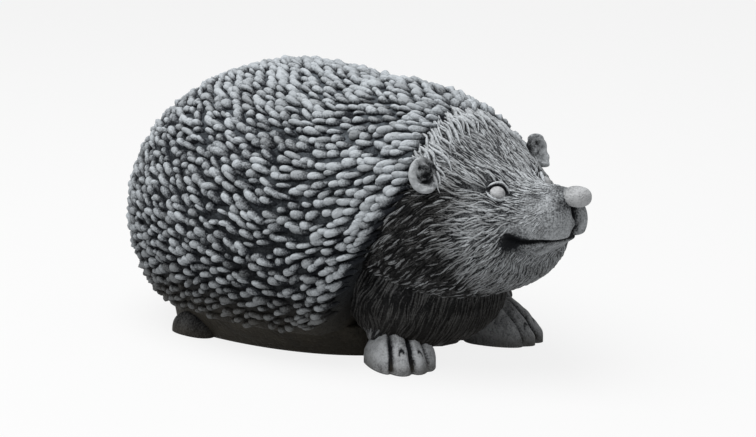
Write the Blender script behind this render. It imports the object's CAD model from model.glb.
from math import cos, radians, sin, tan

import bpy
import numpy as np
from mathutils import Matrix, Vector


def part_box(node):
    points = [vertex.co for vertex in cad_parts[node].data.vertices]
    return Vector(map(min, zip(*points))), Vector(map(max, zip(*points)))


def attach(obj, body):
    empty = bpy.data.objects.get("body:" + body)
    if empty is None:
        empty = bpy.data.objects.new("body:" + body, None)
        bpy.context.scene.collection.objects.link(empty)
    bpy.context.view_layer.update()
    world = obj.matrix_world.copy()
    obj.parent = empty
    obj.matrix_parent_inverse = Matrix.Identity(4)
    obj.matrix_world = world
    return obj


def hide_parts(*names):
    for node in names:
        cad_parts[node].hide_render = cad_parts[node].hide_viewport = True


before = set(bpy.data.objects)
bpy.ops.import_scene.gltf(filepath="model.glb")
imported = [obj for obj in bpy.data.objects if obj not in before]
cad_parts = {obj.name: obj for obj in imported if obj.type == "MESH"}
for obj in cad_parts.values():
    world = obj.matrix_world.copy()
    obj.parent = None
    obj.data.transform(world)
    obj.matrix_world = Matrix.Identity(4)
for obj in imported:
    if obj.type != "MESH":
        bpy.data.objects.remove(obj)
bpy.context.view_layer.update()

# Coat: the back of the casting with its hood over the crown, the skin that the quills stand on.
# Cast stone, poured in one mould with the rest. The dark wash brushed over the whole figure was
# rubbed off the quills and is still here, between them.
MM = 0.001


def node_box(node):
    """Lowest and highest corner of a node, in millimetres."""
    low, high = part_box(node)
    return np.array(low) / MM, np.array(high) / MM


coat_low, coat_high = node_box("coat")
skirt_z = coat_low[2]
back_rear_x = coat_low[0]
back_radius = coat_high[1]
back_axis_z = coat_high[2] - back_radius
back_x = -41.3
back_front_length = 138.0
hood_x = coat_high[0]
hood_z = 107.0
hood_top_lean = tan(radians(15.0))
hood_side_lean = tan(radians(31.0))
crown_blend = 12.0

# Outline of the head and of the part of it under the hood: station, half width, top and underside
head_x, head_half_width, head_top, head_under = np.array([
    (-60.0, 30.0, 125.0, 50.0),
    (-10.0, 44.0, 141.0, 42.0),
    (26.0, 53.0, 145.0, 38.0),
    (56.0, 57.5, 143.5, 36.0),
    (86.0, 56.0, 129.5, 40.0),
    (107.0, 44.5, 114.0, 45.0),
    (118.0, 36.5, 107.0, 50.0),
    (127.0, 30.0, 104.8, 56.0),
    (136.0, 23.5, 104.0, 65.0),
    (144.0, 17.0, 102.5, 73.5),
    (149.5, 11.5, 98.5, 79.0),
    (152.0, 5.0, 93.0, 84.5),
]).T


def smooth_curve(knots, values, at):
    """Cubic curve through the knots; the slope at each knot is the weighted mean of its two chords."""
    slopes = np.gradient(values, knots)
    left = np.clip(np.searchsorted(knots, at, side="right") - 1, 0, len(knots) - 2)
    span = knots[left + 1] - knots[left]
    t = np.clip((at - knots[left]) / span, 0, 1)
    start = (1 + 2 * t) * (1 - t) ** 2 * values[left] + t * (1 - t) ** 2 * span * slopes[left]
    end = t * t * (3 - 2 * t) * values[left + 1] + t * t * (t - 1) * span * slopes[left + 1]
    return start + end


def ramp(low, high, value):
    """Smooth step from 0 at low to 1 at high: three t squared less two t cubed."""
    t = np.clip((value - low) / (high - low), 0, 1)
    return t * t * (3 - 2 * t)


def ripple(points, wavelength, seed):
    """Soft irregular swell between about -1 and 1: the mean of sine waves in seeded directions."""
    rng = np.random.default_rng(seed)
    waves = rng.normal(size=(14, 3)) * 2 * np.pi / wavelength / 1.7
    phases = rng.uniform(0, 2 * np.pi, 14)
    return np.sin(points @ waves.T + phases).mean(axis=-1) * 2.6


def coat_point(x, angle):
    """Point of the coat at a station and an angle from the animal's left over the top.

    The radius about the back's axis is the larger of the egg's and of the head's ellipse, blended where
    they meet; the ellipse's is the positive root of its quadratic along that angle.
    """
    length = np.where(x < back_x, back_x - back_rear_x, back_front_length)
    egg = back_radius * np.sqrt(np.clip(1 - ((x - back_x) / length) ** 2, 0, 1))
    half_width = smooth_curve(head_x, head_half_width, x)
    top = smooth_curve(head_x, head_top, x)
    under = smooth_curve(head_x, head_under, x)
    half_height = (top - under) / 2
    drop = back_axis_z - (top + under) / 2
    a = (np.cos(angle) / half_width) ** 2 + (np.sin(angle) / half_height) ** 2
    b = 2 * np.sin(angle) * drop / half_height**2
    c = (drop / half_height) ** 2 - 1
    crown = (-b + np.sqrt(np.maximum(b * b - 4 * a * c, 0))) / (2 * a) * ramp(-60, 30, x)
    radius = (egg + crown + np.hypot(egg - crown, crown_blend * ramp(-30, 30, x))) / 2
    z = np.maximum(back_axis_z + radius * np.sin(angle), skirt_z)
    return np.stack(np.broadcast_arrays(x, radius * np.cos(angle), z), axis=-1)


def hood_edge(angle):
    """Station of the coat's front edge at each angle, furthest forward beside the ears.

    The edge lies on two leaning planes; the mean of a guess and of its plane's station, repeated, finds it.
    """
    x = np.full(np.shape(angle), 60.0)
    for _ in range(12):
        over = coat_point(x, angle)[..., 2] - hood_z
        x = (x + hood_x - np.where(over > 0, over * hood_top_lean, -over * hood_side_lean)) / 2
    return x


def closed_bodies(name, rings, first_poles, last_poles, **values):
    """Mesh of one or many closed bodies, each a stack of rings with a pole at both ends.

    rings is bodies by rings by points by 3, in millimetres; the ring points run round the direction
    from the first pole to the last by the right-hand rule, so the faces point outwards. values are
    float attributes, one number for each ring point; a pole takes the mean of its ring.
    """
    bodies, count, sides, _ = rings.shape
    size = count * sides + 2
    points = np.concatenate(
        [rings.reshape(bodies, -1, 3), first_poles[:, None], last_poles[:, None]], axis=1)
    ring, side = np.meshgrid(np.arange(count - 1), np.arange(sides), indexing="ij")
    ahead = (side + 1) % sides
    quads = np.stack([ring * sides + side, ring * sides + ahead,
                      (ring + 1) * sides + ahead, (ring + 1) * sides + side], axis=-1).reshape(-1, 4)
    around = np.arange(sides)
    after = (around + 1) % sides
    last = (count - 1) * sides
    start_fan = np.stack([np.full(sides, size - 2), after, around], axis=-1)
    end_fan = np.stack([np.full(sides, size - 1), last + around, last + after], axis=-1)
    offsets = np.arange(bodies)[:, None, None] * size
    quads = (quads + offsets).reshape(-1, 4)
    fans = (np.concatenate([start_fan, end_fan]) + offsets).reshape(-1, 3)
    mesh = bpy.data.meshes.new(name)
    mesh.from_pydata((points.reshape(-1, 3) * MM).tolist(), [], quads.tolist() + fans.tolist())
    mesh.polygons.foreach_set("use_smooth", np.ones(len(mesh.polygons), bool))
    for label, value in values.items():
        value = np.broadcast_to(value, rings.shape[:3])
        poles = np.stack([value[:, 0].mean(axis=-1), value[:, -1].mean(axis=-1)], axis=-1)
        every = np.concatenate([value.reshape(bodies, -1), poles], axis=1).astype(np.float32)
        mesh.attributes.new(label, "FLOAT", "POINT").data.foreach_set("value", every.ravel())
    piece = bpy.data.objects.new(name, mesh)
    bpy.context.scene.collection.objects.link(piece)
    return piece


class Wash:
    """A value or colour in a stone's node tree; arithmetic on values adds their Math nodes."""

    def __init__(self, tree, socket):
        self.tree = tree
        self.socket = socket

    def node(self, kind, settings, sockets, output=0):
        """Adds a node: its settings first, then a number, colour or Wash for each named socket."""
        made = self.tree.nodes.new(kind)
        for name, setting in settings.items():
            setattr(made, name, setting)
        for name, value in sockets.items():
            if isinstance(value, Wash):
                self.tree.links.new(value.socket, made.inputs[name])
            else:
                made.inputs[name].default_value = value
        return Wash(self.tree, made.outputs[output]) if made.outputs else None

    def math(self, operation, first, second):
        """One Math node on two numbers or values."""
        return self.node("ShaderNodeMath", {"operation": operation}, {0: first, 1: second})

    def __add__(self, other):
        return self.math("ADD", self, other)

    def __sub__(self, other):
        return self.math("SUBTRACT", self, other)

    def __rsub__(self, other):
        return self.math("SUBTRACT", other, self)

    def __mul__(self, other):
        return self.math("MULTIPLY", self, other)

    __radd__ = __add__
    __rmul__ = __mul__

    def between(self, low, high):
        """0 at low and 1 at high, held at both ends."""
        return self.node("ShaderNodeMapRange", {"interpolation_type": "SMOOTHSTEP"},
                         {"Value": self, "From Min": low, "From Max": high})

    def mix(self, dark, pale):
        """Colour that goes from dark to pale as this value goes from 0 to 1."""
        return self.node("ShaderNodeMix", {"data_type": "RGBA"}, {0: self, 6: dark, 7: pale}, output=2)


def cast_stone(name, deep, pale, earth=(0.055, 0.048, 0.036, 1), low=(6 * MM, 46 * MM)):
    """Cast stone with a dark wash: pale where it rises, deep in its grooves, brown near the ground.

    The attribute rise is how far the rubbing reached, tone how pale the stone is there.
    """
    material = bpy.data.materials.new(name)
    material.use_nodes = True
    tree = material.node_tree
    tree.nodes.clear()
    coords = Wash(tree, tree.nodes.new("ShaderNodeTexCoord").outputs["Object"])

    def noise(scale, detail):
        """Noise in the stone, about 0.5 in the mean; scale is in waves for each metre."""
        return coords.node("ShaderNodeTexNoise", {}, {"Vector": coords, "Scale": scale, "Detail": detail})

    rise = coords.node("ShaderNodeAttribute", {"attribute_name": "rise"}, {}, output="Fac")
    tone = coords.node("ShaderNodeAttribute", {"attribute_name": "tone"}, {}, output="Fac")
    height = coords.node("ShaderNodeSeparateXYZ", {}, {"Vector": coords}, output="Z")
    mottle = noise(110, 4)
    grain = noise(1000, 3)
    pits = noise(420, 2)
    rubbed = (rise + (mottle - 0.5) * 0.8 + (grain - 0.5) * 0.9).between(0.05, 0.92)
    stone = rubbed.mix(deep, pale)
    shade = coords.node("ShaderNodeMix", {"data_type": "RGBA", "blend_type": "MULTIPLY"},
                        {0: 1.0, 6: stone, 7: tone.mix((0.16, 0.15, 0.14, 1), (1, 1, 1, 1))}, output=2)
    ground = (1 - height.between(*low)) * (0.55 + (mottle - 0.5))
    colour = ground.node("ShaderNodeMix", {"data_type": "RGBA"}, {0: ground, 6: shade, 7: earth}, output=2)
    relief = grain * 0.6 + pits.between(0.3, 0.55)
    bump = coords.node("ShaderNodeBump", {}, {"Height": relief, "Strength": 0.6, "Distance": 0.7 * MM})
    shader = coords.node("ShaderNodeBsdfPrincipled", {}, {
        "Base Color": colour, "Roughness": 0.72 + (grain - 0.5) * 0.3, "Normal": bump,
        "Specular IOR Level": 0.12})
    coords.node("ShaderNodeOutputMaterial", {}, {"Surface": shader})
    return material


def finish(piece, material, slot, *nodes):
    """Gives a piece its stone, its place in the record and the nodes that it stands for."""
    piece.data.materials.append(material)
    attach(piece, "root")
    if nodes:
        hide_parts(*nodes)


coat_rows = 150
coat_sides = 300
coat_angles = np.linspace(0, 2 * np.pi, coat_sides, endpoint=False)
coat_edge = hood_edge(coat_angles)
row_share = 1 - np.cos(np.linspace(0.02, 1, coat_rows) * np.pi / 2)
coat_x = back_rear_x + row_share[:, None] * (coat_edge - back_rear_x)
coat_grid = coat_point(coat_x, coat_angles[None, :])
coat_grid = coat_grid + ripple(coat_grid, 26, 3)[..., None] * 0.35


def well_rubbed(point):
    """How much further the rubbing went: 1 on the top of the back and beside the neck, 0 low and behind.

    The larger of two products of ramps, each of a height and a station.
    """
    x, z = point[..., 0], point[..., 2]
    return np.maximum(ramp(105, 150, z) * ramp(-120, -60, x), ramp(0, 60, x) * ramp(55, 100, z))


coat_rise = 0.4 + 0.15 * ripple(coat_grid, 9, 4) + 0.2 * well_rubbed(coat_grid)
coat_stone = cast_stone("wash_between_quills", (0.006, 0.007, 0.009, 1), (0.11, 0.125, 0.14, 1))
coat = closed_bodies("coat_skin", coat_grid[None], np.array([[back_rear_x, 0, back_axis_z]]),
                     np.array([[60.0, 0, 92.0]]), rise=coat_rise, tone=ramp(10, 130, coat_grid[..., 2]))
finish(coat, coat_stone, "coat_stone", "coat")

# Quills: blunt seed-shaped reliefs, combed back and lifted at their free ends, thousands of them.
# They are cast in one with the coat; the wash was rubbed off their tops, which are pale.
quill_rng = np.random.default_rng(11)
quill_share = 39.0
quill_jitter = 0.9
quill_length = 15.0
quill_width = 4.5
quill_height = 4.6
golden_angle = np.pi * (3 - 5**0.5)
quill_sides = 8
quill_stations = np.array([0.1, 0.35, 0.58, 0.76, 0.88, 0.95, 0.985])
quills_along_edge = 58
edge_rows = np.array([0.5, 7.0])
edge_quills = quills_along_edge * len(edge_rows)


def unit(vectors):
    """Vectors of length 1."""
    return vectors / np.linalg.norm(vectors, axis=-1, keepdims=True)


def coat_normal(x, angle):
    """Outward normal of the coat, from the cross product of its two slopes."""
    step = 0.5
    along = coat_point(x + step, angle) - coat_point(x - step, angle)
    turn = step / back_radius
    round_about = coat_point(x, angle + turn) - coat_point(x, angle - turn)
    return unit(np.cross(round_about, along))


def quill_places():
    """Station and angle of every quill, spread like a sunflower's seeds and then jittered.

    One after another from the rump each takes an equal share of the skin, a golden angle further round.
    Two even rows along the front edge of the coat come last.
    """
    x = np.linspace(back_rear_x, hood_x, 4000)
    spokes = np.linspace(0.3, np.pi - 0.3, 9)
    spread = coat_point(x[:, None], spokes[None, :]) - [0, 0, back_axis_z]
    radius = np.linalg.norm(spread[..., 1:], axis=-1).mean(axis=1)
    run = np.hypot(np.gradient(x), np.gradient(radius))
    skin = np.cumsum(2 * np.pi * radius * run)
    count = int(skin[-1] / quill_share)
    station = np.interp((np.arange(count) + 0.5) / count * skin[-1], skin, x)
    angle = np.arange(count) * golden_angle
    slant = np.interp(station, x, np.gradient(x) / run)
    station = station + quill_rng.normal(0, quill_jitter, count) * slant
    angle = angle + quill_rng.normal(0, quill_jitter, count) / np.interp(station, x, radius)
    station = np.maximum(station, back_rear_x + 0.2)
    foot = coat_point(station, angle)
    keep = (foot[:, 2] > skirt_z + 2.5) & (station < hood_edge(angle) + 1.0)
    edge = np.repeat(np.linspace(-0.55, np.pi + 0.55, quills_along_edge), len(edge_rows))
    edge = edge + quill_rng.normal(0, 0.02, edge_quills)
    edge_x = hood_edge(edge) - np.tile(edge_rows, quills_along_edge) + quill_rng.normal(0, 1.2, edge_quills)
    return np.concatenate([station[keep], edge_x]), np.concatenate([angle[keep], edge]) % (2 * np.pi)


def quill_flow(point, normal):
    """Direction in which the quills are combed: level and rearward round the sides, back along the top,
    downward beside the cheeks, a little upward round the rump."""
    side = np.where(point[:, 1] < 0, 1.0, -1.0)
    level = np.stack([normal[:, 1] * side, -normal[:, 0] * side, np.zeros(len(point))], axis=-1)
    steep = np.hypot(normal[:, 0], normal[:, 1])[:, None]
    flow = level + (1 - steep) * np.array([-1.0, 0, 0])
    flow[:, 2] += -0.55 * ramp(0, 70, point[:, 0]) * ramp(0.2, 0.7, steep[:, 0])
    climb = 0.42 * ramp(55, -30, point[:, 0]) * ramp(20, 80, point[:, 2])
    uphill = np.stack([np.zeros(len(point)), side * (1 - steep[:, 0]), steep[:, 0]], axis=-1)
    flow = flow + climb[:, None] * uphill
    flow[:, 2] += 0.3 * ramp(-110, -158, point[:, 0])
    flow = flow + quill_rng.normal(0, 0.12, flow.shape)
    return unit(flow - (flow * normal).sum(axis=1, keepdims=True) * normal)


def quill_bodies(foot, normal, flow, length, width, height):
    """Rings and poles of all quills: an ellipse carried along an axis that starts under the skin and ends
    above it, so that the root merges with the coat and the blunt free end stands off it."""
    axis = flow * length[:, None] + normal * (1.05 * height)[:, None]
    along = unit(axis)
    across = unit(np.cross(normal, along))
    up = np.cross(along, across)
    root = foot - flow * (0.5 * length)[:, None] - normal * (0.6 * height)[:, None]
    t = quill_stations
    girth = (0.4 + 0.6 * ramp(0, 0.75, t)) * np.sqrt(1 - np.clip((t - 0.76) / 0.24, 0, 1) ** 2.6)
    turn = np.arange(quill_sides) * 2 * np.pi / quill_sides
    wobble = 1 + 0.14 * np.sin(2 * turn + quill_rng.uniform(0, 6.3, (len(foot), 1)))
    wide = girth[None, :, None] * (width / 2)[:, None, None] * np.cos(turn) * wobble[:, None, :]
    high = girth[None, :, None] * (height / 2)[:, None, None] * np.sin(turn) * wobble[:, None, :]
    bend = quill_rng.normal(0, 0.9, len(foot))[:, None] * (4 * (t - 0.5) ** 2)
    middle = root[:, None] + axis[:, None] * t[None, :, None] + across[:, None] * bend[..., None]
    rings = (middle[:, :, None] - across[:, None, None] * wide[..., None]
             + up[:, None, None] * high[..., None])
    rings = rings + normal[:, None, None] * (0.16 * ripple(rings, 4.5, 15))[..., None]
    end = across * bend[:, -1:]
    return rings, root + across * bend[:, :1], root + axis + end


station, angle = quill_places()
foot = coat_point(station, angle)
normal = coat_normal(station, angle)
flow = quill_flow(foot, normal)
count = len(foot)
low_down = 1 - ramp(skirt_z, 70, foot[:, 2])
length = np.clip(quill_rng.normal(quill_length, 3.0, count), 8.0, 22) * (1 - 0.2 * low_down)
length[-edge_quills:] *= 1.1
width = np.clip(quill_rng.normal(quill_width, 0.8, count), 2.9, 6.2) * (1 - 0.1 * low_down)
height = np.clip(quill_rng.normal(quill_height, 0.7, count), 3.0, 6.2)
rings, roots, tips = quill_bodies(foot, normal, flow, length, width, height)
above = ((rings - foot[:, None, None, :]) * normal[:, None, None, :]).sum(axis=-1)
quill_rise = 0.9 * ramp(0.4, 4.4, above + 0.7 * well_rubbed(foot)[:, None, None])
quill_tone = np.clip(quill_rng.normal(0.9, 0.14, (count, 1, 1)), 0.45, 1.05)
quill_tone = np.broadcast_to(quill_tone - 0.62 * low_down[:, None, None], quill_rise.shape)
quill_stone = cast_stone("rubbed_quills", (0.012, 0.014, 0.018, 1), (0.50, 0.535, 0.565, 1))
rump_x = back_rear_x + 62.0
crown_half_angle = radians(42.0)
from_top = np.abs(angle % (2 * np.pi) - np.pi / 2)
on_rump = station < rump_x
on_crown = ~on_rump & (from_top < crown_half_angle)
regions = {
    "quills_rump": on_rump,
    "quills_crown": on_crown,
    "quills_left_flank": ~on_rump & ~on_crown & (foot[:, 1] > 0),
    "quills_right_flank": ~on_rump & ~on_crown & (foot[:, 1] <= 0),
}
for node, chosen in regions.items():
    piece = closed_bodies("carved_" + node, rings[chosen], roots[chosen], tips[chosen],
                          rise=quill_rise[chosen], tone=quill_tone[chosen])
    finish(piece, quill_stone, "quill_stone", node)

# Head: cheeks, forehead, snout and jaw, modelled as one skin. Cast with the coat; the mouth, the cleft
# under the nose and the eye sockets are tooled into it, and keep the wash.
head_rows = 190
head_sides = 320
head_back_x = 40.0
lip_x = head_x[-1]
eye_lift = np.array([0, 0, 2.4])
eye_place = sum(node_box("eye_left")) / 2 + eye_lift


def bump(point, centre, spread):
    """Bell of height 1 round a centre on both sides of the face, with its own spread along each axis."""
    gap = (np.stack([point[..., 0], np.abs(point[..., 1]), point[..., 2]], axis=-1) - centre) / spread
    return np.exp(-0.5 * (gap**2).sum(axis=-1))


def grid_normals(grid):
    """Outward normals of a grid of closed rings, from central differences along and round it."""
    along = np.gradient(grid, axis=0)
    round_about = np.roll(grid, -1, axis=1) - np.roll(grid, 1, axis=1)
    return unit(np.cross(round_about, along) + 1e-9)


def mouth_height(x):
    """Height of the mouth line at a station, lifted at its corners."""
    return 79.2 + 3.0 * ramp(136, 128, x)


def head_surface():
    """Sections carried from the nape to the lip: half an ellipse above the widest level, a fuller one
    below it. Bells along the normal add cheeks, lips and brows and take out sockets, mouth and cleft.

    Also gives how far the rubbing reached, less where the tool went in.
    """
    t = np.linspace(0, 1, head_rows)
    x = head_back_x + (lip_x - head_back_x) * (1 - (1 - t) ** 1.5)
    turn = np.linspace(0, 2 * np.pi, head_sides, endpoint=False)
    half_width = smooth_curve(head_x, head_half_width, x)[:, None]
    top = smooth_curve(head_x, head_top, x)[:, None]
    under = smooth_curve(head_x, head_under, x)[:, None]
    widest = under + (top - under) * 0.45
    upper = np.sin(turn) > 0
    fullness = np.where(upper, 1.0, 0.86)
    across = np.sign(np.cos(turn)) * np.abs(np.cos(turn)) ** fullness
    upright = np.sign(np.sin(turn)) * np.abs(np.sin(turn)) ** fullness
    z = widest + np.where(upper, top - widest, widest - under) * upright
    grid = np.stack(np.broadcast_arrays(x[:, None], half_width * across, z), axis=-1)
    px, py, pz = grid[..., 0], np.abs(grid[..., 1]), grid[..., 2]
    front = ramp(127, 131, px)
    mouth = np.exp(-0.5 * ((pz - mouth_height(px)) / 0.95) ** 2) * front
    jaw = ramp(79, 64, pz) * ramp(120, 134, px)
    corner = bump(grid, (131.5, 26.0, 78.5), (3.2, 4.0, 3.4))
    cleft = np.exp(-0.5 * (py / 1.5) ** 2) * ramp(142, 147, px) * ramp(78, 80, pz) * ramp(101, 97, pz)
    socket = bump(grid, eye_place, (5.0, 5.0, 4.4))
    fold = bump(grid, (147.0, 0.0, 97.5), (2.6, 6.0, 1.6))
    chin = ramp(mouth_height(px) + 0.2, mouth_height(px) - 1.2, pz) * front
    swell = (3.4 * bump(grid, (141.5, 9.0, 88.5), (7.0, 5.0, 6.5))
             + 3.6 * bump(grid, (114.0, 21.0, 111.0), (9.0, 7.0, 5.0))
             + 1.5 * bump(grid, (121.0, 30.0, 94.0), (8.0, 6.0, 6.0))
             + 3.0 * bump(grid, (103.0, 48.0, 78.0), (14.0, 14.0, 18.0))
             + 2.4 * bump(grid, (140.0, 0.0, 104.0), (9.0, 7.0, 5.0))
             + 3.0 * bump(grid, (148.5, 0.0, 101.0), (4.5, 6.0, 3.5)))
    carve = 2.4 * socket + 3.2 * mouth + 3.0 * corner + 3.6 * cleft + 1.8 * chin + 3.0 * jaw + 1.2 * fold
    grid = grid + grid_normals(grid) * (swell - carve)[..., None]
    snout = ramp(120, 144, px)
    behind_cheek = ramp(112, 94, px) * ramp(118, 100, pz)
    rubbed = 0.24 + 0.2 * snout * ramp(104, 94, pz) + 0.08 * snout - 0.25 * behind_cheek
    return grid, rubbed - 0.5 * socket - 1.3 * mouth - 0.7 * corner - 0.9 * cleft - 0.6 * fold


head_grid, head_rise = head_surface()


def face_tone(point):
    """How pale the face's stone is: a sum of ramps, paler to the snout and the forehead, dark below and
    behind the cheeks."""
    x, z = point[..., 0], point[..., 2]
    tone = 0.5 + 0.3 * ramp(95, 128, x) + 0.25 * ramp(88, 122, z) - 0.32 * ramp(78, 50, z)
    return np.clip(tone - 0.55 * ramp(114, 96, x) * ramp(118, 100, z), 0.03, 1)


face_stone = cast_stone("tooled_hair", (0.008, 0.009, 0.011, 1), (0.60, 0.63, 0.655, 1),
                        earth=(0.014, 0.012, 0.009, 1))
head = closed_bodies("head_skin", head_grid[None], np.array([[head_back_x, 0, 90.0]]),
                     np.array([[lip_x + 0.6, 0, 88.5]]), rise=head_rise, tone=face_tone(head_grid))
finish(head, face_stone, "face_stone", "head", "lower_jaw", "upper_lip_left", "upper_lip_right")

# Face hair: fine strokes combed back from the nose over cheeks, jaw and forehead.
# They were tooled into the master before the mould was taken, and are cast with the head.
hair_rng = np.random.default_rng(29)
hair_count = 5400
hair_steps = 6
hair_sides = 5


def surface_at(grid, row, column):
    """Value of a grid of closed rings between its points: the four nearest, weighted by nearness."""
    row = np.clip(row, 0, len(grid) - 1.001)
    first = row.astype(int)
    left = np.floor(column).astype(int)
    down = (row - first)[..., None]
    over = (column - left)[..., None]
    sides = grid.shape[1]
    near = grid[first, left % sides] * (1 - over) + grid[first, (left + 1) % sides] * over
    far = grid[first + 1, left % sides] * (1 - over) + grid[first + 1, (left + 1) % sides] * over
    return near * (1 - down) + far * down


def dot(first, second):
    """Scalar product along the last axis, kept as a column."""
    return (first * second).sum(axis=-1, keepdims=True)


def comb(grid, row, column, length, steps, flow):
    """Paths of hairs over a grid, with the normal at each point: equal steps along flow in the surface.

    A step in rows and columns is the one whose sum of the two grid slopes comes nearest to the flow.
    """
    normals = grid_normals(grid)
    along = np.gradient(grid, axis=0)
    about = (np.roll(grid, -1, axis=1) - np.roll(grid, 1, axis=1)) / 2
    points, outward = [], []
    for _ in range(steps):
        point = surface_at(grid, row, column)
        normal = unit(surface_at(normals, row, column))
        a = surface_at(along, row, column)
        b = surface_at(about, row, column)
        way = flow(point)
        way = unit(way - dot(way, normal) * normal) * (length / (steps - 1))[:, None]
        aa, ab, bb = dot(a, a), dot(a, b), dot(b, b)
        wa, wb = dot(way, a), dot(way, b)
        spread = np.maximum(aa * bb - ab * ab, 1e-6)
        row = row + np.clip((wa * bb - wb * ab) / spread, -8, 8)[:, 0]
        column = column + np.clip((wb * aa - wa * ab) / spread, -8, 8)[:, 0]
        points.append(point)
        outward.append(normal)
    return np.stack(points, axis=1), np.stack(outward, axis=1)


def hair_bodies(paths, normals, width, height):
    """Ridges along hair paths: an ellipse half sunk in the skin, thin at the root, thinner at the tip.

    Also gives how far each point of a ridge rises, 1 on its top line.
    """
    tangent = unit(np.gradient(paths, axis=1))
    across = unit(np.cross(normals, tangent))
    t = np.linspace(0, 1, paths.shape[1])
    girth = (0.35 + 0.65 * ramp(0, 0.3, t)) * (1 - 0.85 * ramp(0.55, 1, t))
    turn = np.pi / 2 + np.arange(hair_sides) * 2 * np.pi / hair_sides
    wide = girth[None, :, None] * width[:, None, None] / 2 * np.cos(turn)
    high = girth[None, :, None] * height[:, None, None] * np.sin(turn)
    rings = (paths[:, :, None] + across[:, :, None] * wide[..., None]
             + normals[:, :, None] * high[..., None])
    rise = np.broadcast_to(np.maximum(np.sin(turn), 0), wide.shape)
    return rings, paths[:, 0] - 0.3 * tangent[:, 0], paths[:, -1] + 0.3 * tangent[:, -1], rise


def sow(grid, weight, count, rng):
    """Root rows and columns spread over a grid by area times weight: even steps of the running sum."""
    along = np.gradient(grid, axis=0)
    about = (np.roll(grid, -1, axis=1) - np.roll(grid, 1, axis=1)) / 2
    area = np.linalg.norm(np.cross(along, about), axis=-1) * weight
    total = np.cumsum(area.ravel())
    picks = (np.arange(count) + rng.uniform(size=count)) / count * total[-1]
    cell = np.minimum(np.searchsorted(total, picks), area.size - 1)
    row, column = np.divmod(cell, grid.shape[1])
    return row + rng.uniform(-0.5, 0.5, count), column + rng.uniform(-0.5, 0.5, count)


def face_flow(point):
    """Way of the face hair: back from the nose, up on the forehead, down and back over the cheeks."""
    x, y, z = point[:, 0], point[:, 1], point[:, 2]
    side = np.where(y < 0, -1.0, 1.0)
    upper = ramp(100, 114, z)
    slope = -0.42 - 0.35 * ramp(104, 84, x) + (0.95 + 0.35 * ramp(104, 84, x)) * upper
    slope = slope - 0.5 * ramp(126, 140, x) * ramp(100, 92, z)
    wave = 0.3 * ripple(point, 12, 31)
    return np.stack([-np.ones_like(x), side * 0.25 * upper, slope + wave], axis=-1)


face_x, face_z = head_grid[..., 0], head_grid[..., 2]
over_mouth = face_z - mouth_height(face_x)
bridge = ramp(94, 99, face_z)
bare_eye = bump(head_grid, eye_place, (6.2, 6.2, 5.4))
bare_mouth_corner = bump(head_grid, (132.5, 26, 80), (5.5, 6, 6))
bare_snout = ramp(140 - 5 * bridge, 148 - 4 * bridge, face_x)
bare_lips = ramp(-11, -7, over_mouth) * ramp(4.5, 3, over_mouth) * ramp(127, 132, face_x)
bare = np.maximum.reduce([bare_eye, bare_mouth_corner, bare_snout, bare_lips])
hair_weight = np.clip(1 - 1.2 * bare, 0, 1) * ramp(50, 62, face_x) * (1 + 0.8 * ramp(110, 125, face_x))
hair_row, hair_column = sow(head_grid, hair_weight, hair_count, hair_rng)
hair_root = surface_at(head_grid, hair_row, hair_column)
to_snout = ramp(104, 138, hair_root[:, 0])
on_brow = ramp(104, 116, hair_root[:, 2]) * (1 - to_snout)
hair_length = (10.0 - 5.8 * to_snout - 4.0 * on_brow) * hair_rng.uniform(0.6, 1.3, hair_count)
hair_width = (1.35 - 0.5 * to_snout - 0.2 * on_brow) * hair_rng.uniform(0.7, 1.3, hair_count)
hair_height = hair_width * hair_rng.uniform(0.4, 0.75, hair_count)
hair_turn = hair_rng.normal(0, 0.17, (hair_count, 3))
paths, path_normals = comb(head_grid, hair_row, hair_column, hair_length, hair_steps,
                           lambda point: face_flow(point) + hair_turn)
rings, roots, tips, top_line = hair_bodies(paths, path_normals, hair_width, hair_height)
stray_pale = 0.5 * hair_rng.uniform(size=hair_count) ** 3
hair_tone = np.maximum(face_tone(rings), stray_pale[:, None, None])
hair_tone = hair_tone * hair_rng.uniform(0.45, 1.25, hair_count)[:, None, None]
hair_rise = (0.1 + 0.75 * top_line) * (0.3 + 0.7 * ramp(0.0, 0.3, hair_tone))
clear_of_mouth = bump(paths, (132.5, 26.0, 79.5), (5.0, 6.0, 5.5)).max(axis=1) < 0.4
on_left = hair_root[:, 1] > 0
for side_name, chosen in {"left": clear_of_mouth & on_left, "right": clear_of_mouth & ~on_left}.items():
    face_hair = closed_bodies("face_hair_" + side_name, rings[chosen], roots[chosen], tips[chosen],
                              rise=hair_rise[chosen], tone=hair_tone[chosen])
    finish(face_hair, face_stone, "face_stone")

# Brow locks: long wavy strands that fall from the quills of the hood over the forehead.
# Cast in one with the head; their tops are rubbed, and the wash is deep between them.
lock_rows = np.array([-4.0, 3.0])
locks_in_row = 52
locks_in_tuft = 4
lock_count = len(lock_rows) * locks_in_row
lock_steps = 12
row_angle = np.radians(np.linspace(-49, 49, locks_in_row))
lock_angle = np.pi / 2 + (row_angle[None, :] + np.radians([[0], [1.1]])).ravel()
lock_angle = lock_angle + np.radians(hair_rng.normal(0, 0.4, lock_count))
lock_back = np.repeat(lock_rows, locks_in_row) + hair_rng.normal(0, 1.5, lock_count)


def lock_flow(point):
    """Way of the brow locks: forward and down over the brow, drawn outwards to the ears."""
    y = point[:, 1]
    return np.stack([np.ones_like(y), 0.01 * y, -0.3 * np.ones_like(y)], axis=-1)


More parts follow.
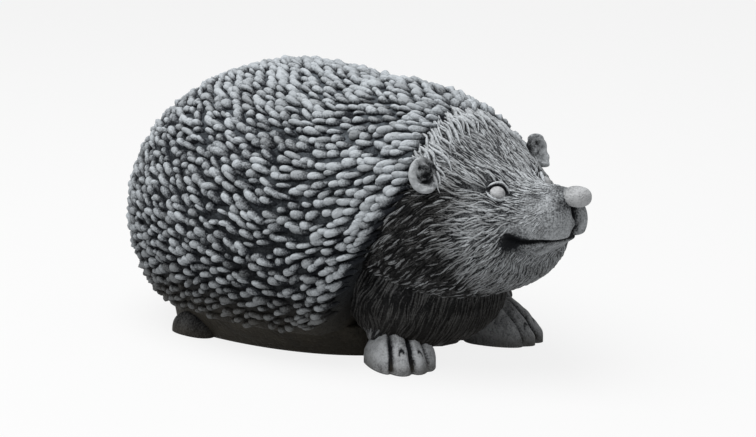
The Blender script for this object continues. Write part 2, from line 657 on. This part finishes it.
lock_x = hood_edge(lock_angle) + lock_back
lock_row = np.interp(lock_x, head_grid[:, 0, 0], np.arange(head_rows))
lock_column = lock_angle / (2 * np.pi) * head_sides
lock_length = hair_rng.uniform(12, 20, lock_count)
paths, path_normals = comb(head_grid, lock_row, lock_column, lock_length, lock_steps, lock_flow)
t = np.linspace(0, 1, lock_steps)
phase = 3.0 * ripple(paths[:, 0], 22, 41) + hair_rng.normal(0, 0.5, lock_count)
wave = np.sin(5.5 * t + phase[:, None]) - np.sin(phase)[:, None]
sway = hair_rng.uniform(0.9, 1.7, lock_count)[:, None] * wave
tuft = np.arange(lock_count) // locks_in_tuft
tuft_angle = (np.bincount(tuft, lock_angle) / np.bincount(tuft))[tuft]
gather = (lock_angle - tuft_angle)[:, None] * 40.0 * t**2
sideways = unit(np.cross(path_normals, unit(np.gradient(paths, axis=1))))
paths = paths + sideways * (sway + gather)[..., None] + path_normals * (1.8 * (1 - t) ** 1.2)[None, :, None]
lock_width = hair_rng.uniform(1.7, 2.7, lock_count)
lock_height = lock_width * hair_rng.uniform(0.6, 1.0, lock_count)
rings, roots, tips, top_line = hair_bodies(paths, path_normals, lock_width, lock_height)
lock_tone = hair_rng.uniform(0.7, 1.1, lock_count)[:, None, None] * np.ones(rings.shape[:3])
locks = closed_bodies("brow_strands", rings, roots, tips, rise=0.08 + 0.8 * top_line, tone=lock_tone)
finish(locks, face_stone, "face_stone", "brow_locks")

# Nose: a smooth, slightly squared ball at the end of the snout, the foremost point of the figure.
# Cast stone in one with the snout; it has no hair and is rubbed pale all over.
smooth_stone = cast_stone("rubbed_smooth", (0.05, 0.053, 0.058, 1), (0.50, 0.51, 0.52, 1))


def ball(name, low, high, squareness, rows=40, sides=48, floor_z=-1e9, **values):
    """Superellipsoid that fills a box, its poles on the length, cut off flat at floor_z.

    A power of the sines and cosines below 1 squares it.
    """
    middle, half = (low + high) / 2, (high - low) / 2
    lat = np.linspace(-np.pi / 2, np.pi / 2, rows + 2)[1:-1, None]
    turn = np.linspace(0, 2 * np.pi, sides, endpoint=False)[None, :]

    def power(value):
        """The power of a sine or cosine with its sign kept."""
        return np.sign(value) * np.abs(value) ** squareness

    shape = np.stack(np.broadcast_arrays(power(np.sin(lat)), power(np.cos(lat)) * power(np.cos(turn)),
                                         power(np.cos(lat)) * power(np.sin(turn))), axis=-1)
    rings = middle + shape * half
    rings = rings + unit(shape)[..., :] * (ripple(rings, 14, 51) * 0.012 * half.min())[..., None]
    rings[..., 2] = np.maximum(rings[..., 2], floor_z)
    poles = middle + np.array([[-1.0, 0, 0], [1.0, 0, 0]]) * half
    return rings, closed_bodies(name, rings[None], poles[:1], poles[1:], **values)


nose_rows = 40
nose_half = np.array([7.6, 6.5, 5.4])
nose_tip_x, _, nose_top_z = node_box("nose")[1]
nose_middle = np.array([nose_tip_x - nose_half[0], 0.0, nose_top_z - nose_half[2] - 0.5])
nose_rise = np.linspace(0.4, 0.95, nose_rows)[:, None]
_, nose = ball("nose_ball", nose_middle - nose_half, nose_middle + nose_half, 0.84, rows=nose_rows,
               rise=nose_rise, tone=1.0)
finish(nose, smooth_stone, "smooth_stone", "nose")

# Eyes: smooth pale balls in their sockets, under two ridges of lid that meet in narrow corners.
# All cast with the face; the balls are rubbed clean and the wash stays round them.
eye_radius = 4.5
lid_steps = 18
lid_sides = 8
for side_name, side in {"left": 1, "right": -1}.items():
    eye_low, eye_high = node_box("eye_" + side_name)
    middle = (eye_low + eye_high) / 2 + eye_lift
    near_eye = ((head_grid - middle) ** 2).sum(axis=-1)
    eye_row, eye_column = np.unravel_index(near_eye.argmin(), near_eye.shape)
    outward = grid_normals(head_grid)[eye_row, eye_column]
    eye_centre = head_grid[eye_row, eye_column] - outward * 1.0
    _, eye = ball("eyeball_" + side_name, eye_centre - eye_radius, eye_centre + eye_radius, 1.0,
                  rows=24, sides=32, rise=0.8, tone=1.0)
    finish(eye, smooth_stone, "smooth_stone", "eye_" + side_name)
    ahead = np.array([0.93, 0, 0.36])
    ahead = unit(ahead - outward * dot(outward, ahead))
    over = np.cross(outward, ahead) * -side
    t = np.linspace(0, 1, lid_steps)
    reach = np.array([[5.2], [-4.9]]) * np.sin(np.pi * t) ** 0.75
    stand = 1.3 + 1.9 * np.sin(np.pi * t)
    paths = (eye_centre + outward * stand[None, :, None] + ahead * (6.8 * (2 * t - 1))[None, :, None]
             + over * reach[..., None])
    tangent = unit(np.gradient(paths, axis=1))
    face_out = unit(paths - eye_centre)
    across = unit(np.cross(face_out, tangent))
    lift = np.cross(tangent, across)
    thick = np.array([[1.15], [0.85]]) * (0.35 + 0.65 * np.sin(np.pi * t) ** 0.7)
    turn = np.arange(lid_sides) * 2 * np.pi / lid_sides
    rings = (paths[:, :, None] + across[:, :, None] * (thick[..., None] * np.cos(turn))[..., None]
             + lift[:, :, None] * (thick[..., None] * np.sin(turn))[..., None])
    lids = closed_bodies("lids_" + side_name, rings, paths[:, 0], paths[:, -1],
                         rise=np.broadcast_to(0.3 + 0.55 * np.sin(turn), rings.shape[:3]), tone=1.0)
    finish(lids, face_stone, "face_stone", "eyelid_" + side_name)

# Ears: small cups with a thick lumpy rim, open to the front, standing out behind the cheeks.
# Cast in one with the head; the rim is rubbed pale at the back, and the wash stays in the hollow.
# Knots of the cup's section run from the root over the rim into the hollow: radius, height, rubbing
ear_radius = np.array([3.0, 6.5, 8.6, 9.6, 9.8, 8.6, 6.2, 4.8, 3.2, 1.2])
ear_height = np.array([-9.5, -7.6, -4.4, -1.4, 0.8, 1.9, 1.1, -1.0, -2.4, -3.0])
ear_rub = np.array([0.15, 0.3, 0.5, 0.7, 0.85, 0.95, 0.8, 0.5, 0.3, 0.25])
for side_name, side in {"left": 1, "right": -1}.items():
    ear_low, ear_high = node_box("ear_" + side_name)
    middle = (ear_low + ear_high) / 2 + [1.5, -1.0 * side, 0]
    opening = unit(np.array([0.80, side * 0.54, 0.25]))
    over = unit(np.array([0, 0, 1.0]) - opening * opening[2])
    across = np.cross(over, opening)
    knots = np.arange(len(ear_radius), dtype=float)
    t = np.linspace(0, len(knots) - 1, 60)
    turn = np.linspace(0, 2 * np.pi, 64, endpoint=False)[None, :]
    forward = np.cos(turn - np.where(across[0] > 0, 0.45, np.pi - 0.45))
    r = smooth_curve(knots, ear_radius, t)[:, None] * (1 - 0.06 * forward)
    inside = ramp(5.6, 7, t)[:, None]
    front_drop = 7.0 * ramp(-0.5, 1.0, forward) * ramp(1, 4, t)[:, None] * (1 - 0.8 * inside)
    h = smooth_curve(knots, ear_height, t)[:, None] - front_drop
    rim = middle + opening * 1.6
    rings = (rim + across * (r * np.cos(turn))[..., None] * 0.9 + over * (r * np.sin(turn))[..., None]
             + opening * h[..., None])
    lumps = ripple(rings, 6, 21 + side)
    rings = rings + opening * (lumps * (0.5 + 1.0 * inside))[..., None]
    rise = np.interp(t, knots, ear_rub)[:, None] * (0.72 - 0.42 * forward) + 0.2 * lumps * (1 + inside)
    piece = closed_bodies("ear_cup_" + side_name, rings[None], (rim - opening * 9.8)[None],
                          (rings[-1].mean(axis=0) - opening * 0.3)[None], rise=rise, tone=0.7)
    finish(piece, face_stone, "face_stone", "ear_" + side_name)

# Chest: the hairy breast between the cheeks and the forepaws, down to the ground behind them.
# Cast with the rest, and nearly black with wash below.
chest_middle = np.array([51.0, 0.0, 50.5])
chest_half = np.array([38.0, 48.0, 44.5])
chest_strands = 900
chest_grid, chest = ball("chest_swell", chest_middle - chest_half, chest_middle + chest_half, 0.78,
                         rows=60, sides=90, rise=0.12, tone=0.12)
finish(chest, face_stone, "face_stone", "chest")


def chest_flow(point):
    """Way of the chest hair: down, a little outwards and back, with a ripple added to the back."""
    wave = 0.5 * ripple(point, 18, 61)
    down = np.full(len(point), -1.0)
    return np.stack([-0.55 + wave, np.sign(point[:, 1]) * 0.15, down], axis=-1)


chest_weight = ramp(8, 18, chest_grid[..., 2]) * ramp(30, 45, chest_grid[..., 0])
strand_row, strand_column = sow(chest_grid, chest_weight, chest_strands, hair_rng)
strand_length = hair_rng.uniform(9, 18, chest_strands)
paths, path_normals = comb(chest_grid, strand_row, strand_column, strand_length, hair_steps, chest_flow)
paths[..., 2] = np.maximum(paths[..., 2], 1.5)
strand_width = hair_rng.uniform(1.1, 2.1, chest_strands)
rings, roots, tips, top_line = hair_bodies(paths, path_normals, strand_width, strand_width * 0.45)
strand_pale = hair_rng.uniform(0.2, 1.3, chest_strands)[:, None, None]
chest_tone = 0.02 + 0.15 * ramp(24, 70, rings[..., 2]) * strand_pale
chest_hair = closed_bodies("chest_hair", rings, roots, tips, rise=0.05 + 0.5 * top_line, tone=chest_tone)
finish(chest_hair, face_stone, "face_stone")

# Belly: the smooth underside that the figure stands on, drawn in under the coat.
# Cast with the rest and dark brown with wash and soil.
belly_low, belly_high = node_box("belly")
belly_stone = cast_stone("soiled_underside", (0.008, 0.008, 0.008, 1), (0.06, 0.058, 0.05, 1))
turn = np.linspace(0, 2 * np.pi, 160, endpoint=False)[None, :]
level = np.linspace(0, 1, 14)[:, None]
belly_x = -62.0
sole_half_width = 58.0
belly_top_z = belly_high[2] + 1.0
sole_reach = np.where(np.cos(turn) > 0, 106.0, 68.0)
skirt_reach = np.where(np.cos(turn) > 0, 84.0, back_x - belly_low[0])
sole_ring = np.stack([belly_x + sole_reach * np.cos(turn), sole_half_width * np.sin(turn)], axis=-1)
skirt_ring = np.stack([back_x + skirt_reach * np.cos(turn), belly_high[1] * np.sin(turn)], axis=-1)
plan = sole_ring * (1 - level[..., None]) + skirt_ring * level[..., None]
belly_z = np.broadcast_to(belly_top_z * level, plan.shape[:2])
belly_rings = np.concatenate([plan, belly_z[..., None]], axis=-1)
belly_rise = 0.3 + 0.2 * ripple(belly_rings, 12, 71)
belly = closed_bodies("belly_under", belly_rings[None], np.array([[belly_x, 0, 0.0]]),
                      np.array([[back_x, 0, belly_top_z]]), rise=belly_rise, tone=0.7)
finish(belly, belly_stone, "belly_stone", "belly")

# Forelegs and forepaws: short hairy legs on broad flat paws, each with four long toes and marked nails.
# Cast with the chest; the toes are rubbed pale and the soles are brown. Each stance is the paw's middle
# on the ground, its heading, and the side of its outer toe.
paw_stone = cast_stone("rubbed_paws", (0.01, 0.011, 0.013, 1), (0.60, 0.62, 0.64, 1), low=(0.0, 10 * MM))
paw_rise_knots = np.array([0.0, 0.12, 0.3, 0.55, 0.8, 1.0])
paw_z = np.array([0.0, 6.0, 12.0, 19.0, 25.0, 28.0])
paw_draw = np.array([0.0, 0.01, 0.16, 0.44, 0.74, 1.0])
toe_grooves = {-9.0: 1.0, 1.5: 1.0, 10.5: 0.45}
nail_lines = (-13.5, -3.7, 7.0)
nail_ahead = 18.0
paw_setback = 8.0
paw_squareness = 2.3
ankle_z = 28.0
leg_strands = 260
stances = {
    "left": (np.array([65.0, 52.0]), radians(12.0), -1),
    "right": (np.array([57.2, -30.5]), radians(-33.0), 1),
}
for side_name, (centre, heading, hand) in stances.items():
    turn = np.linspace(-np.pi, np.pi, 240, endpoint=False)[None, :]
    share = np.linspace(0, 1, 64)[:, None]
    ahead = np.cos(turn)
    long = np.where(ahead > 0, 31.0, 15.0)
    broad = np.where(np.sin(turn) * hand > 0, 20.5, 17.5)
    nearness = (np.abs(ahead) / long) ** paw_squareness + (np.abs(np.sin(turn)) / broad) ** paw_squareness
    reach = nearness ** (-1 / paw_squareness)
    draw = smooth_curve(paw_rise_knots, paw_draw, share)
    u = -paw_setback + reach * ahead * (1 - draw)
    v = reach * np.sin(turn) * (1 - draw)
    fan = 0.6 + 0.017 * (u + paw_setback)
    gap = 0.45 + 0.016 * (u + paw_setback)
    toe = 0
    valley = 0
    for line, depth in toe_grooves.items():
        off_line = v - hand * line * fan
        toe = toe + depth * np.exp(-0.5 * (off_line / gap) ** 2)
        valley = valley + np.exp(-0.5 * (off_line / 2.6) ** 2)
    toe = toe * ramp(-4, 8, u)
    valley = valley * ramp(-2, 12, u)
    nail = 0
    for line in nail_lines:
        off_ring = np.hypot((u - nail_ahead) / 1.5, v - hand * line) - 1.2
        nail = nail + np.exp(-0.5 * (off_ring / 0.35) ** 2)
    nail = nail * ramp(nail_ahead + 1, nail_ahead - 0.5, u)
    knuckle = np.exp(-0.5 * ((u - 9) / 5) ** 2) * (1 - toe)
    u = u - (2.0 * toe + 2.0 * valley) * ramp(11, 22, u)
    lift = smooth_curve(paw_rise_knots, paw_z, share) + 1.6 * knuckle * ramp(0.1, 0.3, share)
    z = np.maximum(lift - (2.6 * toe + 2.2 * valley) * ramp(0.02, 0.2, share), 0)
    flat = np.stack([centre[0] + u * cos(heading) - v * sin(heading),
                     centre[1] + u * sin(heading) + v * cos(heading)], axis=-1)
    rings = np.concatenate([flat, z[..., None]], axis=-1)
    rings = rings + np.array([0, 0, 0.6]) * (ripple(rings, 6, 81) * ramp(0.05, 0.2, share))[..., None]
    marks = 0.9 * toe * ramp(0.0, 0.08, share) + 0.6 * nail * ramp(0.05, 0.12, share)
    rise = 0.7 + 0.12 * ripple(rings, 5, 83) - marks
    setback = paw_setback * np.array([cos(heading), sin(heading)])
    ankle = np.append(centre - setback, ankle_z)
    paw = closed_bodies("paw_" + side_name, rings[None], (ankle * [1, 1, 0])[None], ankle[None],
                        rise=rise, tone=0.75 + 0.2 * hand - 0.3 * ramp(14, ankle_z, rings[..., 2]))
    finish(paw, paw_stone, "paw_stone", "forepaw_" + side_name, "toes_" + side_name)
    rise_share = np.linspace(0, 1, 24)[:, None]
    turn = np.linspace(0, 2 * np.pi, 60, endpoint=False)[None, :]
    leg_r = 13.0 + 8.0 * rise_share
    leg_x = ankle[0] - 2.0 - 15.0 * rise_share + leg_r * np.cos(turn)
    leg_y = ankle[1] + leg_r * np.sin(turn)
    leg_z = 13.0 + 43.0 * rise_share + 0 * turn
    leg_grid = np.stack([leg_x, leg_y, leg_z], axis=-1)
    leg = closed_bodies("leg_" + side_name, leg_grid[None], leg_grid[:1].mean(axis=1),
                        leg_grid[-1:].mean(axis=1), rise=0.12, tone=0.3)
    finish(leg, paw_stone, "paw_stone", "foreleg_" + side_name)
    leg_row, leg_column = sow(leg_grid, np.ones(leg_grid.shape[:2]), leg_strands, hair_rng)
    leg_length = hair_rng.uniform(8, 16, leg_strands)
    paths, path_normals = comb(leg_grid, leg_row, leg_column, leg_length, hair_steps, chest_flow)
    strand_width = hair_rng.uniform(0.9, 1.7, leg_strands)
    rings, roots, tips, top_line = hair_bodies(paths, path_normals, strand_width, strand_width * 0.45)
    leg_tone = hair_rng.uniform(0.05, 0.45, leg_strands)[:, None, None] * ramp(60, 20, rings[..., 2])
    leg_hair = closed_bodies("leg_hair_" + side_name, rings, roots, tips,
                             rise=0.1 + 0.7 * top_line, tone=leg_tone)
    finish(leg_hair, paw_stone, "paw_stone")

# Hind feet: the ends of the haunches, rounded lumps under the skirt of the coat, flat on the ground.
# Cast with the belly, and dark with the same wash.
for side_name in ("left", "right"):
    foot_low, foot_high = node_box("hind_foot_" + side_name)
    foot_low[2] = -foot_high[2]
    _, haunch = ball("haunch_" + side_name, foot_low, foot_high, 0.9, floor_z=0.0, rise=0.35, tone=0.1)
    finish(haunch, paw_stone, "paw_stone", "hind_foot_" + side_name)

# Camera, light and floor: the photograph's viewpoint, a broad soft light from above and a white floor.
# None of it belongs to the figure. The floor and the world are white to the camera, and light the stone
# at a plain level.
camera_target = np.array([13.9, 0, 71.2])
camera_distance = 1200.0
camera_azimuth = radians(42.0)
camera_elevation = radians(12.0)
toward = np.array([sin(camera_azimuth) * cos(camera_elevation), -cos(camera_azimuth) * cos(camera_elevation),
                   sin(camera_elevation)])
camera_data = bpy.data.cameras.new("camera")
camera_data.sensor_width = 36.0
camera_data.lens = 101.2
camera_data.clip_end = 50.0
camera = bpy.data.objects.new("camera", camera_data)
camera.location = (camera_target + toward * camera_distance) * MM
camera.rotation_euler = (radians(90) - camera_elevation, 0, camera_azimuth)
bpy.context.scene.collection.objects.link(camera)
bpy.context.scene.camera = camera

floor_mesh = bpy.data.meshes.new("floor")
floor_mesh.from_pydata([(-4, -4, 0), (4, -4, 0), (4, 4, 0), (-4, 4, 0)], [], [(0, 1, 2, 3)])
floor = bpy.data.objects.new("floor", floor_mesh)
bpy.context.scene.collection.objects.link(floor)
floor_paint = bpy.data.materials.new("floor_paint")
floor_paint.use_nodes = True
floor_tree = floor_paint.node_tree
floor_tree.nodes.clear()


def backdrop_rays(tree):
    """1 for the rays that see the backdrop itself: from the camera, or by way of a mirror or glass."""
    path = tree.nodes.new("ShaderNodeLightPath").outputs
    seen = Wash(tree, path["Is Camera Ray"])
    for kind in ("Is Glossy Ray", "Is Transmission Ray"):
        seen = seen.math("MAXIMUM", seen, Wash(tree, path[kind]))
    return seen


seen = backdrop_rays(floor_tree)
matt = seen.node("ShaderNodeBsdfDiffuse", {}, {"Color": (0.6, 0.6, 0.6, 1)})
glow = seen.node("ShaderNodeEmission", {}, {"Color": (1, 1, 1, 1), "Strength": 1.03})
paint = seen.node("ShaderNodeMixShader", {}, {0: seen * 0.82, 1: matt, 2: glow})
seen.node("ShaderNodeOutputMaterial", {}, {"Surface": paint})
floor_mesh.materials.append(floor_paint)

world = bpy.data.worlds.new("studio")
bpy.context.scene.world = world
world.use_nodes = True
world_tree = world.node_tree
world_tree.nodes.clear()
seen = backdrop_rays(world_tree)
backdrop = seen.node("ShaderNodeBackground", {}, {"Color": (1, 1, 1, 1), "Strength": 0.35 + seen * 0.65})
seen.node("ShaderNodeOutputWorld", {}, {"Surface": backdrop})

light_data = bpy.data.lights.new("overhead", "AREA")
light_data.shape = "DISK"
light_data.size = 1.6
light_data.energy = 27.0
light = bpy.data.objects.new("overhead", light_data)
light.location = (-0.15, -0.5, 1.5)
light.rotation_euler = (radians(18), radians(-6), 0)
bpy.context.scene.collection.objects.link(light)

bpy.context.scene.view_settings.view_transform = "Standard"
